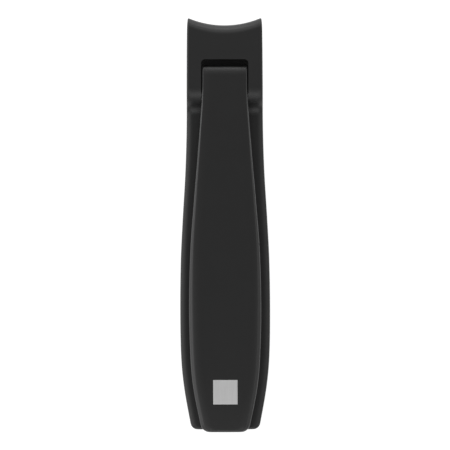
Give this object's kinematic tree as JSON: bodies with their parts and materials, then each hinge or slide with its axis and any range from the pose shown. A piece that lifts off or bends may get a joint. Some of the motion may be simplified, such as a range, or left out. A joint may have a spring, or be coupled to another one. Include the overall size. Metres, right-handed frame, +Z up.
{
  "type": "nail clipper",
  "caption": "Slim nail clipper with curved cutting jaws, two sprung arms riveted at the tail and a flat thumb lever that draws the jaws together.",
  "frame": {"origin": "middle of the clipper's plan, on the flat underside of the lower arm", "axes": "+X across, +Y along the clipper towards the jaws, +Z up through the thickness; the lever is closed at rest"},
  "size_m": [0.013, 0.06, 0.0079],
  "materials": {
    "black_steel": "fine matte black coating over stainless steel",
    "lever_black": "fine matte black coating over cast lever",
    "badge_silver": "satin silver inlay, plain",
    "pin_steel": "dark ground steel"
  },
  "bodies": {
    "base": {"lower_arm": "black_steel", "tail_spacer": "black_steel", "tail_rivet_front": "pin_steel", "tail_rivet_rear": "pin_steel", "draw_post": "pin_steel"},
    "upper_jaw": {"upper_arm": "black_steel", "pivot_pin": "pin_steel"},
    "thumb_lever": {"lever": "lever_black", "lever_badge": "badge_silver", "nose_pin": "pin_steel"}
  },
  "joints": [
    {"name": "jaw_open", "type": "hinge", "parent": "base", "child": "upper_jaw", "pos_m": [0, -0.0293, 0.0039], "axis": [1, 0, 0], "range_deg": [0, 2.07]},
    {"name": "lever_lift", "type": "hinge", "parent": "upper_jaw", "child": "thumb_lever", "pos_m": [0, 0.0186, 0.0056], "axis": [-1, 0, 0], "range_deg": [0, 34]}
  ],
  "couplings": [
    {"joint": "jaw_open", "follows": "lever_lift", "ratio": 0.06074}
  ]
}
